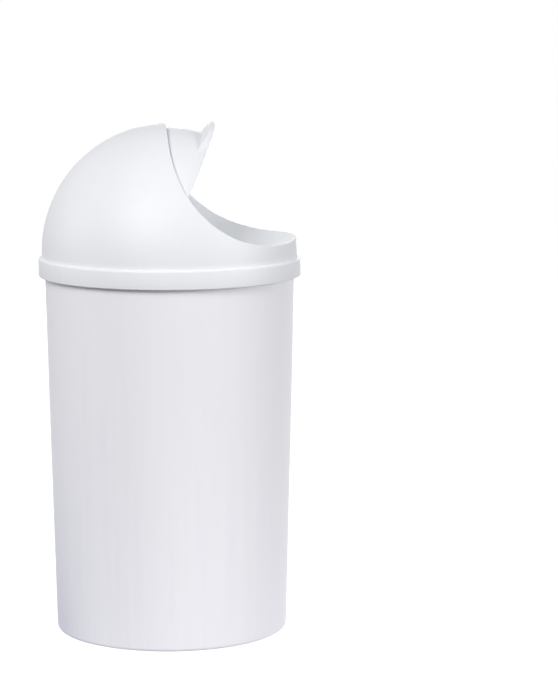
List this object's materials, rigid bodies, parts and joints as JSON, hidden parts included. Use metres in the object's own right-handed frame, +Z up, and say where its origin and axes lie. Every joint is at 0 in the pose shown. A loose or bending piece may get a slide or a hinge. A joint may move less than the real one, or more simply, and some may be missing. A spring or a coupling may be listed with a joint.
{
  "type": "swing-lid trash can",
  "caption": "Round tapered kitchen bin with a lift-off domed hood and a curved flap that swings open into the hood.",
  "frame": {"origin": "on the floor at the middle of the bin's base", "axes": "+Z up, the front with the flap's mouth faces -Y, +X to the right of someone who faces the front"},
  "size_m": [0.32, 0.32, 0.6244],
  "materials": {
    "body_plastic": "white moulded polypropylene, satin gloss",
    "lid_plastic": "white moulded polypropylene, satin gloss",
    "pin_plastic": "white moulded acetal"
  },
  "bodies": {
    "bin": {"bin_body": "body_plastic"},
    "lid": {"lid_hood": "lid_plastic", "pivot_pin_left": "pin_plastic", "pivot_pin_right": "pin_plastic"},
    "flap": {"swing_flap": "lid_plastic"}
  },
  "joints": [
    {"name": "lid_lift", "type": "slide", "parent": "bin", "child": "lid", "axis": [0, 0, 1], "range_m": [0, 0.12]},
    {"name": "flap_swing", "type": "hinge", "parent": "lid", "child": "flap", "pos_m": [0, 0, 0.4664], "axis": [1, 0, 0], "range_deg": [0, 64]}
  ]
}
